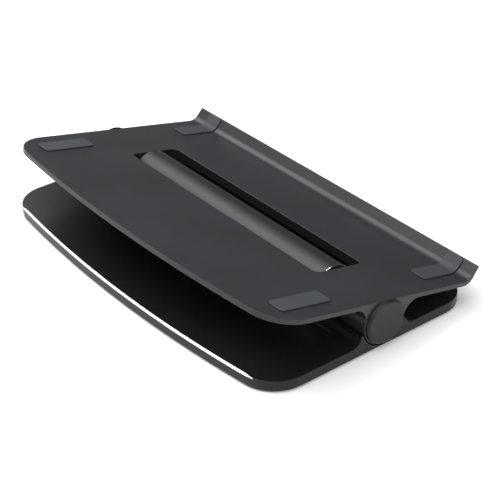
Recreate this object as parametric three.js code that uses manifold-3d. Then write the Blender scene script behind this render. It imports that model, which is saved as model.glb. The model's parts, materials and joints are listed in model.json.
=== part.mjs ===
// A tilting laptop stand: a base plate and a tray plate joined by one round hinge as wide as the stand.
// Millimetres, +Z up. +X runs along the hinge, +Y points to the bowed rear edges, and the tray's lip is at -Y.
// Every piece is measured from the hinge axis. The finished stand is then moved so that its origin is the
// middle of its footprint, on the surface it stands on.

import * as THREE from 'three';
import { mergeVertices } from 'three/addons/utils/BufferGeometryUtils.js';
import Module from 'manifold-3d';

const wasm = await Module();
wasm.setup();

// Both plates
const WIDTH = 300;
const PLATE_REAR = 101.5; // hinge axis to the middle of a bowed rear edge
const REAR_BOW = 11; // rise of the rear arc over the full width
const REAR_CORNER_R = 26;

// Hinge
const REST_TILT_DEG = 12.4;
const BARREL_R = 16.5;
const BARREL_WALL = 3;
const BARREL_PROUD = 1.5; // how far the barrel stands out of the tray's slot
const KNUCKLE_LENGTH = 47.5; // tray knuckle at each end
const KNUCKLE_ROOF = 2.5; // tray material over the knuckle bore
const BARREL_END_GAP = 1.5;
const CRADLE_GAP = 0.7; // barrel surface to the tips of the ears
const BARREL_SEAT_GAP = 0.2;
const CRADLE_FLOOR = 1.2;

// Tray, in the tray's own untilted frame
const TRAY_THICKNESS = 3.5;
const TRAY_REAR_FLARE_R = 9.5;
const TRAY_FRONT_FLARE_R = 11.5;
const TRAY_REAR_TIP_DEG = 13.5;
const TRAY_FRONT_TIP_DEG = 181;
const TRAY_TIP_WALL = 0.5; // how far a flare's tip reaches past the ears' inner face
const SLOT_FRONT_GAP = 4.9; // barrel to the slot's front edge
const SLOT_REAR_GAP = 2.8;
const SLOT_CORNER_R = 4;
const LIP_CREASE = 75; // hinge axis to the line where the tray's top meets the lip
const LIP_RISE = 10;
const LIP_INNER_DEG = 58;
const LIP_OUTER_DEG = 65.2;
const LIP_INNER_R = 8;
const LIP_OUTER_R = 9;
const LIP_EDGE = 1.2; // thickness at the lip's free edge

// Base
const BASE_THICKNESS = 7.2;
const BASE_FRONT = 81.5;
const BASE_FRONT_CORNER_R = 24.5;
const EAR_WALL = 2.1; // thickness of an ear at its tip
const EAR_REAR_TIP_DEG = -14.5;
const EAR_REAR_FILLET_R = 6.5;
const EAR_FRONT_TIP_DEG = 195.5;
const EAR_FRONT_FILLET_R = 9;
const TRIM_HEIGHT = 1.3;
const TRIM_DEPTH = 2.3;
const TRIM_SLOPE_HEIGHT = 1.1; // the strip's outer face leans in over this height
const TRIM_SLOPE_DEPTH = 1.8;
const TRIM_END_MARGIN = 16; // side of the base to the end of the bright strip
const TRIM_GAP = 0.1;

// Pockets and covers under the base
const COVER_THICKNESS = 1.2;
const COVER_RIM = 7; // base edge to the cover
const COVER_LEDGE = 3;
const COVER_GAP = 0.15;
const COVER_INNER = 24; // hinge axis to the cover's inner edge
const POCKET_SKIN = 3; // base material above a pocket
const BOSS_R = 4;
const COVER_SCREW_INNER_X_MARGIN = 22;
const COVER_SCREW_OUTER_X_MARGIN = 75;
const COVER_SCREW_INNER_Y = 34;
const COVER_SCREW_EDGE = 18; // plate edge to the outer cover screws

// Rubber
const PAD_WIDTH = 14.2;
const PAD_THICKNESS = 1;
const PAD_GAP = 0.1;
const PAD_SIDE_MARGIN = 12.3;
const REAR_PAD_LENGTH = 41;
const REAR_PAD_MARGIN = 22.5; // middle of the rear edge to a rear pad
const LIP_PAD_REACH = 30; // lip crease to the flat end of a lip pad
const LIP_PAD_DROP = 0.5; // lip's free edge to the top of a lip pad
const PAD_CORNER_R = 3;
const FOOT_LENGTH = 30;
const FOOT_WIDTH = 10;
const FOOT_HEIGHT = 1.5;
const FOOT_SIDE_MARGIN = 38;
const FOOT_EDGE_MARGIN = 22;

// Friction cartridge in each end of the hinge, listed outwards from the barrel
const PLUG_LENGTH = 20;
const PLUG_GAP = 0.3;
const PLUG_RECESS = 0.5;
const SHAFT_R = 5;
const SHAFT_FLATS = 8;
const SHAFT_THREAD_R = 4;
const COLLAR_R = 7.5;
const COLLAR_THICKNESS = 2;
const RUNNING_GAP = 0.15;
const STACK_GAP = 0.1;
const CUP_GAP = 0.3;
const CUP_WEB = 3;
const CUP_WALL = 1.7;
const CUP_OVERHANG = 6;
const DISC_THICKNESS = 1.2;
const DISC_PAIRS = 2;
const KEY_WIDTH = 4;
const PRESSURE_WASHER_THICKNESS = 2;
const SPRING_WASHER_THICKNESS = 0.8;
const SPRING_WASHER_DISH = 0.8;
const SPRING_WASHER_GAP = 1.5; // spring washer to the cup's bore
const NUT_FLATS = 13;
const NUT_THICKNESS = 5;
const CAP_STEP = 0.8; // cap's rim to the knuckle's surface
const CAP_THICKNESS = 2.7;
const CAP_GAP = 0.2;
const CAP_BEVEL = 2.2;
const CAP_SPIGOT = 8;
const CAP_SPIGOT_WALL = 1.6;

// Screws
const SCREW_R = 1.5;
const SCREW_HEAD_R = 2.6;
const SCREW_HEAD_DEPTH = 1.1;
const SCREW_SOCKET_R = 1.1;
const SCREW_SOCKET_DEPTH = 0.8;
const SCREW_GAP = 0.15;
const COVER_SCREW_LENGTH = 4.5;
const BARREL_SCREW_INNER_X = 30;
const BARREL_SCREW_REACH = 1; // past the barrel wall
const PLUG_SCREW_REACH = 5; // into the plug

// Facets
const ARC_STEP_DEG = 9;
const FINE_ARC_STEP_DEG = 7.5;
const BOW_STEPS = 14;
const SMALL_SIDES = 24;
const SCREW_SIDES = 12;
const CUT_MARGIN = 1; // how far a cutting solid runs past the piece it cuts
const MERGE_DISTANCE = 1e-4;

// Sizes that follow from the ones above
const HALF_WIDTH = WIDTH / 2;
const TRAY_TOP = BARREL_R - BARREL_PROUD;
const TRAY_UNDER = TRAY_TOP - TRAY_THICKNESS;
const KNUCKLE_BORE_R = TRAY_TOP - KNUCKLE_ROOF;
const CRADLE_R = BARREL_R + CRADLE_GAP;
const SLOT_HALF = HALF_WIDTH - KNUCKLE_LENGTH;
const BARREL_HALF = SLOT_HALF - BARREL_END_GAP;
const BARREL_BORE_R = BARREL_R - BARREL_WALL;
const BASE_BOTTOM = -(CRADLE_R + CRADLE_FLOOR);
const BASE_TOP = BASE_BOTTOM + BASE_THICKNESS;
const COVER_TOP = BASE_BOTTOM + COVER_THICKNESS;
const POCKET_ROOF = BASE_TOP - POCKET_SKIN;
const TRIM_HALF = HALF_WIDTH - TRIM_END_MARGIN;
const CUP_R = KNUCKLE_BORE_R - CUP_GAP;
const CUP_BORE_R = CUP_R - CUP_WALL;
const SPRING_WASHER_R = CUP_BORE_R - SPRING_WASHER_GAP;
const CAP_R = BARREL_R - CAP_STEP;
const SLOT_FRONT = BARREL_R + SLOT_FRONT_GAP;
const SLOT_REAR = BARREL_R + SLOT_REAR_GAP;

const radians = THREE.MathUtils.degToRad;

// Points of an arc about (a, b), both ends included.
function arcPoints(a, b, radius, fromDeg, toDeg, stepDeg = ARC_STEP_DEG) {
  const steps = Math.max(1, Math.ceil(Math.abs(toDeg - fromDeg) / stepDeg));
  return Array.from({ length: steps + 1 }, (_, i) => {
    const angle = radians(fromDeg + ((toDeg - fromDeg) * i) / steps);
    return new THREE.Vector2(a + radius * Math.cos(angle), b + radius * Math.sin(angle));
  });
}

function circlePoints(radius, sides) {
  return arcPoints(0, 0, radius, 0, 360, 360 / sides).slice(0, -1);
}

function point(a, b) {
  return new THREE.Vector2(a, b);
}

// A plan rectangle with round corners.
function roundedRectangle(x0, y0, x1, y1, radius) {
  return [
    ...arcPoints(x1 - radius, y0 + radius, radius, -90, 0, 22.5),
    ...arcPoints(x1 - radius, y1 - radius, radius, 0, 90, 22.5),
    ...arcPoints(x0 + radius, y1 - radius, radius, 90, 180, 22.5),
    ...arcPoints(x0 + radius, y0 + radius, radius, 180, 270, 22.5),
  ];
}

// Plan outline of a plate, moved inwards by inset: straight sides, round rear corners and a bowed rear edge.
// frontCorner is the radius of the front corners, or 0 for square ones.
function plateOutline(inset, front, frontCorner) {
  const bowR = (HALF_WIDTH ** 2 + REAR_BOW ** 2) / (2 * REAR_BOW);
  const bowY = PLATE_REAR - bowR;
  const cornerX = HALF_WIDTH - REAR_CORNER_R;
  const cornerY = bowY + Math.sqrt((bowR - REAR_CORNER_R) ** 2 - cornerX ** 2);
  const bowDeg = THREE.MathUtils.radToDeg(Math.atan2(cornerY - bowY, cornerX));
  const cornerR = REAR_CORNER_R - inset;
  const bowStep = (180 - 2 * bowDeg) / BOW_STEPS;
  const frontX = HALF_WIDTH - inset;
  const frontY = inset - front;
  const r = Math.max(frontCorner - inset, 0);
  const frontEdge = r > 0
    ? [
        ...arcPoints(-frontX + r, frontY + r, r, 180, 270),
        ...arcPoints(frontX - r, frontY + r, r, 270, 360),
      ]
    : [point(-frontX, frontY), point(frontX, frontY)];
  return [
    ...frontEdge,
    ...arcPoints(cornerX, cornerY, cornerR, 0, bowDeg),
    ...arcPoints(0, bowY, bowR - inset, bowDeg, 180 - bowDeg, bowStep).slice(1, -1),
    ...arcPoints(-cornerX, cornerY, cornerR, 180 - bowDeg, 180),
  ];
}

function solidOf(geometry) {
  const bare = geometry.clone();
  bare.deleteAttribute('normal');
  bare.deleteAttribute('uv');
  const merged = mergeVertices(bare, MERGE_DISTANCE);
  return new wasm.Manifold(new wasm.Mesh({
    numProp: 3,
    vertProperties: merged.attributes.position.array,
    triVerts: new Uint32Array(merged.index.array),
  }));
}

function extrusion(points, holes, depth) {
  const shape = new THREE.Shape(points);
  shape.holes = holes.map((hole) => new THREE.Path(hole));
  return new THREE.ExtrudeGeometry(shape, { depth, bevelEnabled: false });
}

// A (y, z) outline drawn out along X.
function alongX(points, x0, x1, holes = []) {
  const turned = new THREE.Matrix4().set(0, 0, 1, x0, 1, 0, 0, 0, 0, 1, 0, 0, 0, 0, 0, 1);
  return solidOf(extrusion(points, holes, x1 - x0).applyMatrix4(turned));
}

// An (x, y) outline drawn out along Z.
function alongZ(points, z0, z1) {
  return solidOf(extrusion(points, [], z1 - z0).translate(0, 0, z0));
}

function box(x0, x1, y0, y1, z0, z1) {
  return alongZ([point(x0, y0), point(x1, y0), point(x1, y1), point(x0, y1)], z0, z1);
}

function rodX(radius, x0, x1, sides) {
  return alongX(circlePoints(radius, sides), x0, x1);
}

function rodZ(radius, x, y, z0, z1, sides = SCREW_SIDES) {
  return solidOf(extrusion(circlePoints(radius, sides), [], z1 - z0).translate(x, y, z0));
}

// A (radius, height) profile turned about X, with height running outwards on the given side.
function turnedAboutX(profile, side, sides) {
  const geometry = new THREE.LatheGeometry(profile, sides).rotateZ(-Math.PI / 2);
  if (side < 0) geometry.rotateZ(Math.PI);
  return solidOf(geometry);
}

// Length along X from a to b on one side of the stand, as [low, high].
function span(side, a, b) {
  return side > 0 ? [a, b] : [-b, -a];
}

// Outline of a round bar with two flats, and of the hole that takes it.
function twoFlats(radius, acrossFlats) {
  const flatDeg = THREE.MathUtils.radToDeg(Math.asin(acrossFlats / 2 / radius));
  return [...arcPoints(0, 0, radius, -flatDeg, flatDeg), ...arcPoints(0, 0, radius, 180 - flatDeg, 180 + flatDeg)];
}

// A countersunk screw that points up, with its head flush at height z. Grown by a gap it is the hole for it.
function countersunkScrew(x, y, z, length, gap = 0) {
  const profile = [
    point(0, z - (gap ? CUT_MARGIN : 0)),
    point(SCREW_HEAD_R + gap, z - (gap ? CUT_MARGIN : 0)),
    point(SCREW_HEAD_R + gap, z),
    point(SCREW_R + gap, z + SCREW_HEAD_DEPTH),
    point(SCREW_R + gap, z + length + gap),
    point(0, z + length + gap),
  ];
  const unique = profile.filter((p, i) => i === 0 || p.distanceTo(profile[i - 1]) > 0);
  const body = solidOf(new THREE.LatheGeometry(unique, SCREW_SIDES).rotateX(Math.PI / 2).translate(x, y, 0));
  if (gap) return body;
  return body.subtract(rodZ(SCREW_SOCKET_R, x, y, z - CUT_MARGIN, z + SCREW_SOCKET_DEPTH, 6));
}

const finishes = {
  tray: { color: 0x3c3e41, roughness: 0.5, metalness: 0.6 },
  base: { color: 0x1c1c1e, roughness: 0.3, metalness: 0.6 },
  barrel: { color: 0x5a5b5e, roughness: 0.4, metalness: 0.7 },
  trim: { color: 0xf2f2f2, roughness: 0.1, metalness: 1 },
  cap: { color: 0x38383a, roughness: 0.5, metalness: 0.2 },
  rubber: { color: 0x464a4e, roughness: 0.8, metalness: 0 },
  foot: { color: 0x1a1a1a, roughness: 0.9, metalness: 0 },
  cover: { color: 0x222224, roughness: 0.6, metalness: 0.5 },
  steel: { color: 0x9a9a9c, roughness: 0.35, metalness: 1 },
  bronze: { color: 0xa5803f, roughness: 0.45, metalness: 1 },
};

function addPiece(group, name, finish, solid) {
  const made = solid.getMesh();
  const geometry = new THREE.BufferGeometry();
  geometry.setAttribute('position', new THREE.BufferAttribute(new Float32Array(made.vertProperties), 3));
  geometry.setIndex(new THREE.BufferAttribute(new Uint32Array(made.triVerts), 1));
  geometry.computeVertexNormals();
  const mesh = new THREE.Mesh(geometry, new THREE.MeshStandardMaterial(finishes[finish]));
  mesh.name = name;
  group.add(mesh);
}

// Tray -------------------------------------------------------------------------------------------------------

// Where the lip's inner face bends off the tray's top, and where the free edge ends.
const lip = (() => {
  const inner = radians(LIP_INNER_DEG);
  const outer = radians(LIP_OUTER_DEG);
  const innerCentre = point(-LIP_CREASE + LIP_INNER_R * Math.tan(inner / 2), TRAY_TOP + LIP_INNER_R);
  const innerTop = point(-LIP_CREASE - LIP_RISE / Math.tan(inner), TRAY_TOP + LIP_RISE);
  const outerTop = point(innerTop.x - LIP_EDGE * Math.sin(inner), innerTop.y - LIP_EDGE * Math.cos(inner));
  const outerCrease = outerTop.x + (outerTop.y - TRAY_UNDER) / Math.tan(outer);
  const outerCentre = point(outerCrease + LIP_OUTER_R * Math.tan(outer / 2), TRAY_UNDER + LIP_OUTER_R);
  return { innerCentre, innerTop, outerTop, outerCentre };
})();

function trayPlateProfile() {
  const rear = PLATE_REAR + CUT_MARGIN;
  const { innerCentre, innerTop, outerTop, outerCentre } = lip;
  return [
    point(rear, TRAY_UNDER),
    point(rear, TRAY_TOP),
    ...arcPoints(innerCentre.x, innerCentre.y, LIP_INNER_R, -90, -90 - LIP_INNER_DEG),
    innerTop,
    outerTop,
    ...arcPoints(outerCentre.x, outerCentre.y, LIP_OUTER_R, -90 - LIP_OUTER_DEG, -90),
  ];
}

// The knuckle hangs under the plate: a round tube with a concave flare running into the plate on each side.
function trayKnuckleProfile() {
  const flare = (tipDeg, radius) => {
    const tip = point(CRADLE_R + TRAY_TIP_WALL, 0).rotateAround(point(0, 0), radians(tipDeg));
    const z = TRAY_UNDER - radius;
    const deg = THREE.MathUtils.radToDeg(Math.asin((tip.y - z) / radius));
    return { y: tip.x + Math.sign(tip.x) * radius * Math.cos(radians(deg)), z, deg };
  };
  const rear = flare(TRAY_REAR_TIP_DEG, TRAY_REAR_FLARE_R);
  const front = flare(TRAY_FRONT_TIP_DEG, TRAY_FRONT_FLARE_R);
  const inPlate = TRAY_UNDER + TRAY_THICKNESS / 2;
  return [
    point(rear.y, inPlate),
    point(front.y, inPlate),
    ...arcPoints(front.y, front.z, TRAY_FRONT_FLARE_R, 90, front.deg),
    ...arcPoints(0, 0, BARREL_R, TRAY_FRONT_TIP_DEG, 360 + TRAY_REAR_TIP_DEG, FINE_ARC_STEP_DEG),
    ...arcPoints(rear.y, rear.z, TRAY_REAR_FLARE_R, 180 - rear.deg, 90),
  ];
}

function trayPlate() {
  const plate = alongX(trayPlateProfile(), -HALF_WIDTH, HALF_WIDTH);
  const knuckles = alongX(trayKnuckleProfile(), -HALF_WIDTH, HALF_WIDTH);
  const reach = LIP_CREASE + LIP_RISE * 2;
  const outline = alongZ(plateOutline(0, reach, 0), -CRADLE_R * 2, TRAY_TOP + LIP_RISE * 2);
  const bore = rodX(KNUCKLE_BORE_R, -HALF_WIDTH - CUT_MARGIN, HALF_WIDTH + CUT_MARGIN, 40);
  const slot = alongZ(
    roundedRectangle(-SLOT_HALF, -SLOT_FRONT, SLOT_HALF, SLOT_REAR, SLOT_CORNER_R),
    -CRADLE_R * 2,
    TRAY_TOP + CUT_MARGIN,
  );
  const body = plate.add(knuckles).intersect(outline).subtract(bore).subtract(slot);
  return [-1, 1].reduce((solid, side) => solid.subtract(cupScrewRod(side, SCREW_R + SCREW_GAP)), body);
}

function rearPad(side) {
  const [x0, x1] = span(side, HALF_WIDTH - PAD_SIDE_MARGIN - PAD_WIDTH, HALF_WIDTH - PAD_SIDE_MARGIN);
  const y1 = PLATE_REAR - REAR_PAD_MARGIN;
  const bottom = TRAY_TOP + PAD_GAP;
  return alongZ(roundedRectangle(x0, y1 - REAR_PAD_LENGTH, x1, y1, PAD_CORNER_R), bottom, bottom + PAD_THICKNESS);
}

// A pad that lies on the tray, follows the bend and runs up the lip.
function lipPad(side) {
  const [x0, x1] = span(side, HALF_WIDTH - PAD_SIDE_MARGIN - PAD_WIDTH, HALF_WIDTH - PAD_SIDE_MARGIN);
  const flatEnd = -LIP_CREASE + LIP_PAD_REACH;
  const { innerCentre } = lip;
  const normalDeg = -90 - LIP_INNER_DEG;
  const upLip = point(-Math.cos(radians(LIP_INNER_DEG)), Math.sin(radians(LIP_INNER_DEG)));
  const lipLength = LIP_RISE / Math.sin(radians(LIP_INNER_DEG)) - LIP_INNER_R * Math.tan(radians(LIP_INNER_DEG) / 2);
  const run = upLip.multiplyScalar(lipLength - LIP_PAD_DROP);
  const face = (radius) => arcPoints(innerCentre.x, innerCentre.y, radius, -90, normalDeg);
  const under = face(LIP_INNER_R - PAD_GAP);
  const over = face(LIP_INNER_R - PAD_GAP - PAD_THICKNESS).reverse();
  const profile = [
    point(flatEnd, TRAY_TOP + PAD_GAP),
    ...under,
    under.at(-1).clone().add(run),
    over[0].clone().add(run),
    ...over,
    point(flatEnd, TRAY_TOP + PAD_GAP + PAD_THICKNESS),
  ];
  const frontEnd = -LIP_CREASE - LIP_RISE * 2;
  const plan = alongZ(roundedRectangle(x0, frontEnd, x1, flatEnd, PAD_CORNER_R), 0, TRAY_TOP + LIP_RISE * 2);
  return alongX(profile, x0, x1).intersect(plan);
}

// Base -------------------------------------------------------------------------------------------------------

function basePrism(inset, z0, z1) {
  return alongZ(plateOutline(inset, BASE_FRONT, BASE_FRONT_CORNER_R), z0, z1);
}

// The part of a solid that lies behind (side +1) or in front of (side -1) the hinge, past a distance from it.
function beyond(solid, side, distance) {
  const [y0, y1] = span(side, distance, PLATE_REAR * 2);
  return solid.intersect(box(-WIDTH, WIDTH, y0, y1, BASE_BOTTOM * 2, -BASE_BOTTOM));
}

// The two ears that rise from the base on either side of the barrel, as one block before the cradle is bored.
function earProfile() {
  const rearTip = point(CRADLE_R, 0).rotateAround(point(0, 0), radians(EAR_REAR_TIP_DEG));
  const frontTip = point(CRADLE_R, 0).rotateAround(point(0, 0), radians(EAR_FRONT_TIP_DEG));
  const rearFilletY = rearTip.x + EAR_WALL + EAR_REAR_FILLET_R;
  const frontFilletZ = BASE_TOP + EAR_FRONT_FILLET_R;
  const frontDeg = THREE.MathUtils.radToDeg(Math.asin((frontTip.y - frontFilletZ) / EAR_FRONT_FILLET_R));
  const frontFilletY = frontTip.x - EAR_WALL - EAR_FRONT_FILLET_R * Math.cos(radians(frontDeg));
  const inPlate = BASE_TOP - BASE_THICKNESS / 4;
  return [
    point(frontFilletY, inPlate),
    point(rearFilletY, inPlate),
    ...arcPoints(rearFilletY, BASE_TOP + EAR_REAR_FILLET_R, EAR_REAR_FILLET_R, 270, 180, 18),
    point(rearTip.x + EAR_WALL, rearTip.y),
    rearTip,
    frontTip,
    ...arcPoints(frontFilletY, frontFilletZ, EAR_FRONT_FILLET_R, frontDeg, -90),
  ];
}

const coverSides = { rear: 1, front: -1 };

// Plan places of the four screws of a cover.
function coverScrewPlaces(side) {
  const edge = side > 0 ? PLATE_REAR : BASE_FRONT;
  return [-1, 1].flatMap((x) => [
    [x * (HALF_WIDTH - COVER_SCREW_INNER_X_MARGIN), side * COVER_SCREW_INNER_Y],
    [x * (HALF_WIDTH - COVER_SCREW_OUTER_X_MARGIN), side * (edge - COVER_SCREW_EDGE)],
  ]);
}

function coverScrew([x, y], gap = 0) {
  return countersunkScrew(x, y, BASE_BOTTOM, COVER_SCREW_LENGTH, gap);
}

const plugScrewX = BARREL_HALF - PLUG_LENGTH / 2;

// The barrel screws: two short ones into the barrel wall and, outside them, two long ones into the plugs.
const barrelScrews = [-1, 1].flatMap((side) => [
  { x: side * BARREL_SCREW_INNER_X, top: -BARREL_BORE_R + BARREL_SCREW_REACH },
  { x: side * plugScrewX, top: -BARREL_BORE_R + PLUG_GAP + PLUG_SCREW_REACH },
]);

function barrelScrew({ x, top }, gap = 0) {
  return countersunkScrew(x, 0, BASE_BOTTOM, top - BASE_BOTTOM, gap);
}

function cutAll(solid, cutters) {
  return cutters.reduce((left, cutter) => left.subtract(cutter), solid);
}

function trimBand(inset, outer, half, z0, z1) {
  const band = basePrism(outer, z0, z1).subtract(basePrism(inset, z0 - CUT_MARGIN, z1 + CUT_MARGIN));
  return band.intersect(box(-half, half, 0, PLATE_REAR * 2, z0, z1));
}

// The bright strip let into the base's rear edge: a band whose outer face leans in towards the top.
function trimStrip() {
  const shape = new THREE.Shape(plateOutline(0, BASE_FRONT, BASE_FRONT_CORNER_R));
  const leaning = new THREE.ExtrudeGeometry(shape, {
    depth: BASE_THICKNESS - 2 * TRIM_SLOPE_HEIGHT,
    bevelThickness: TRIM_SLOPE_HEIGHT,
    bevelSize: TRIM_SLOPE_DEPTH,
    bevelOffset: -TRIM_SLOPE_DEPTH,
    bevelSegments: 1,
  }).translate(0, 0, BASE_BOTTOM + TRIM_SLOPE_HEIGHT);
  return trimBand(TRIM_DEPTH, 0, TRIM_HALF, BASE_TOP - TRIM_HEIGHT, BASE_TOP).intersect(solidOf(leaning));
}

function basePlate() {
  const plate = basePrism(0, BASE_BOTTOM, BASE_TOP);
  const ears = alongX(earProfile(), -HALF_WIDTH, HALF_WIDTH);
  const clearance = rodX(CRADLE_R, -HALF_WIDTH - CUT_MARGIN, HALF_WIDTH + CUT_MARGIN, 48);
  const seatHalf = BARREL_HALF + BARREL_END_GAP / 2;
  const seat = box(-seatHalf, seatHalf, -CRADLE_R / 2, CRADLE_R / 2, BASE_BOTTOM, BASE_TOP)
    .subtract(rodX(BARREL_R + BARREL_SEAT_GAP, -HALF_WIDTH, HALF_WIDTH, 48));
  const trim = trimBand(TRIM_DEPTH + TRIM_GAP, -CUT_MARGIN, TRIM_HALF + TRIM_GAP,
    BASE_TOP - TRIM_HEIGHT - TRIM_GAP, BASE_TOP + CUT_MARGIN);
  let solid = plate.add(ears).subtract(clearance).add(seat).subtract(trim);
  for (const side of Object.values(coverSides)) {
    const recess = beyond(basePrism(COVER_RIM, BASE_BOTTOM - CUT_MARGIN, COVER_TOP), side, COVER_INNER);
    const pocketInset = COVER_RIM + COVER_LEDGE;
    const pocket = beyond(basePrism(pocketInset, BASE_BOTTOM, POCKET_ROOF), side, COVER_INNER + COVER_LEDGE);
    const bosses = coverScrewPlaces(side).map(([x, y]) => rodZ(BOSS_R, x, y, COVER_TOP, POCKET_ROOF, 20));
    solid = solid.subtract(recess).subtract(cutAll(pocket, bosses));
    solid = cutAll(solid, coverScrewPlaces(side).map((place) => coverScrew(place, SCREW_GAP)));
  }
  return cutAll(solid, barrelScrews.map((screw) => barrelScrew(screw, SCREW_GAP)));
}

function bottomCover(side) {
  const plate = beyond(basePrism(COVER_RIM + COVER_GAP, BASE_BOTTOM, COVER_TOP), side, COVER_INNER + COVER_GAP);
  return cutAll(plate, coverScrewPlaces(side).map((place) => coverScrew(place, SCREW_GAP)));
}

function foot(xSide, ySide) {
  const edge = ySide > 0 ? PLATE_REAR : BASE_FRONT;
  const x = xSide * (HALF_WIDTH - FOOT_SIDE_MARGIN);
  const y = ySide * (edge - FOOT_EDGE_MARGIN);
  const outline = roundedRectangle(
    x - FOOT_LENGTH / 2, y - FOOT_WIDTH / 2, x + FOOT_LENGTH / 2, y + FOOT_WIDTH / 2, FOOT_WIDTH / 2 - 0.01,
  );
  return alongZ(outline, BASE_BOTTOM - FOOT_HEIGHT, BASE_BOTTOM);
}

// Hinge ------------------------------------------------------------------------------------------------------

function hingeBarrel() {
  const tube = alongX(circlePoints(BARREL_R, 48), -BARREL_HALF, BARREL_HALF, [circlePoints(BARREL_BORE_R, 40)]);
  return cutAll(tube, barrelScrews.map((screw) => barrelScrew(screw, SCREW_GAP)));
}

// Stations along one cartridge, as distances from the middle of the stand.
const station = (() => {
  const plugEnd = BARREL_HALF - PLUG_RECESS;
  const collarEnd = plugEnd + STACK_GAP + COLLAR_THICKNESS;
  const web = Math.max(collarEnd + STACK_GAP, SLOT_HALF + STACK_GAP);
  const stack = web + CUP_WEB;
  const disc = (n) => stack + STACK_GAP + n * (DISC_THICKNESS + STACK_GAP);
  const pressure = disc(2 * DISC_PAIRS);
  const spring = pressure + PRESSURE_WASHER_THICKNESS + STACK_GAP;
  const springLength = SPRING_WASHER_THICKNESS + SPRING_WASHER_DISH;
  const nut = spring + 2 * (springLength + STACK_GAP);
  return { plugEnd, collarEnd, web, stack, disc, pressure, spring, springLength, nut };
})();

const cupEnd = station.pressure + CUP_OVERHANG;
const cupScrewX = (station.stack + cupEnd) / 2;

function barrelPlug(side) {
  const [x0, x1] = span(side, BARREL_HALF - PLUG_LENGTH, station.plugEnd);
  const hole = twoFlats(SHAFT_R + RUNNING_GAP, SHAFT_FLATS + 2 * RUNNING_GAP);
  const plug = alongX(circlePoints(BARREL_BORE_R - PLUG_GAP, SMALL_SIDES), x0, x1, [hole]);
  return cutAll(plug, barrelScrews.map((screw) => barrelScrew(screw, SCREW_GAP)));
}

function hingeShaft(side) {
  const start = BARREL_HALF - PLUG_LENGTH + CUT_MARGIN;
  const shoulder = station.pressure + PRESSURE_WASHER_THICKNESS;
  const end = station.nut + NUT_THICKNESS + CUT_MARGIN;
  return alongX(twoFlats(SHAFT_R, SHAFT_FLATS), ...span(side, start, shoulder))
    .add(rodX(COLLAR_R, ...span(side, station.collarEnd - COLLAR_THICKNESS, station.collarEnd), SMALL_SIDES))
    .add(rodX(SHAFT_THREAD_R, ...span(side, shoulder - CUT_MARGIN, end), 16));
}

// The hole for the screw that locks the cup in the tray's knuckle, pointing at the hinge axis from below.
function cupScrewRod(side, radius) {
  return rodZ(radius, side * cupScrewX, 0, -CRADLE_R - CUT_MARGIN, -CUP_BORE_R + CUT_MARGIN);
}

function cupScrew(side) {
  const x = side * cupScrewX;
  const outerEnd = -BARREL_R + SCREW_GAP * 2;
  return rodZ(SCREW_R, x, 0, outerEnd, -CUP_BORE_R - SCREW_GAP * 2)
    .subtract(rodZ(SCREW_SOCKET_R / 2, x, 0, outerEnd - CUT_MARGIN, outerEnd + SCREW_SOCKET_DEPTH, 6));
}

function frictionCup(side) {
  const ring = alongX(circlePoints(CUP_R, 32), ...span(side, station.web, cupEnd));
  const bore = rodX(CUP_BORE_R, ...span(side, station.stack, cupEnd + CUT_MARGIN), SMALL_SIDES);
  const shaftHole = rodX(SHAFT_R + RUNNING_GAP, ...span(side, station.web - CUT_MARGIN, cupEnd), SMALL_SIDES);
  const halfKey = KEY_WIDTH / 2 + RUNNING_GAP;
  const keyway = box(...span(side, station.stack, cupEnd + CUT_MARGIN), -WIDTH, WIDTH, -halfKey, halfKey);
  return cutAll(ring, [bore, shaftHole, keyway, cupScrewRod(side, SCREW_R + SCREW_GAP)]);
}

// A disc that turns with the shaft.
function shaftDisc(side, from, thickness) {
  const hole = twoFlats(SHAFT_R + RUNNING_GAP, SHAFT_FLATS + 2 * RUNNING_GAP);
  const rim = circlePoints(CUP_BORE_R - CUP_GAP * 2, SMALL_SIDES);
  return alongX(rim, ...span(side, from, from + thickness), [hole]);
}

// A disc that turns with the cup: two tabs on its rim sit in the cup's keyways.
function cupDisc(side, from) {
  const rimR = CUP_BORE_R - CUP_GAP;
  const half = KEY_WIDTH / 2;
  const tabDeg = THREE.MathUtils.radToDeg(Math.asin(half / rimR));
  const tip = CUP_R - CUP_GAP;
  const rim = [
    point(tip, -half),
    point(tip, half),
    ...arcPoints(0, 0, rimR, tabDeg, 180 - tabDeg, 15),
    point(-tip, half),
    point(-tip, -half),
    ...arcPoints(0, 0, rimR, 180 + tabDeg, 360 - tabDeg, 15),
  ];
  const hole = circlePoints(SHAFT_R + RUNNING_GAP * 2, SMALL_SIDES);
  return alongX(rim, ...span(side, from, from + DISC_THICKNESS), [hole]);
}

// A dished spring washer. dish +1 opens away from the middle of the stand, -1 towards it.
function springWasher(side, from, dish) {
  const hole = SHAFT_R + RUNNING_GAP;
  const [innerZ, outerZ] = dish > 0 ? [0, SPRING_WASHER_DISH] : [SPRING_WASHER_DISH, 0];
  const profile = [
    point(hole, from + innerZ),
    point(SPRING_WASHER_R, from + outerZ),
    point(SPRING_WASHER_R, from + outerZ + SPRING_WASHER_THICKNESS),
    point(hole, from + innerZ + SPRING_WASHER_THICKNESS),
    point(hole, from + innerZ),
  ];
  return turnedAboutX(profile, side, SMALL_SIDES);
}

function lockNut(side) {
  const hexagon = circlePoints(NUT_FLATS / Math.sqrt(3), 6);
  const hole = circlePoints(SHAFT_THREAD_R + RUNNING_GAP, 16);
  return alongX(hexagon, ...span(side, station.nut, station.nut + NUT_THICKNESS), [hole]);
}

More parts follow.
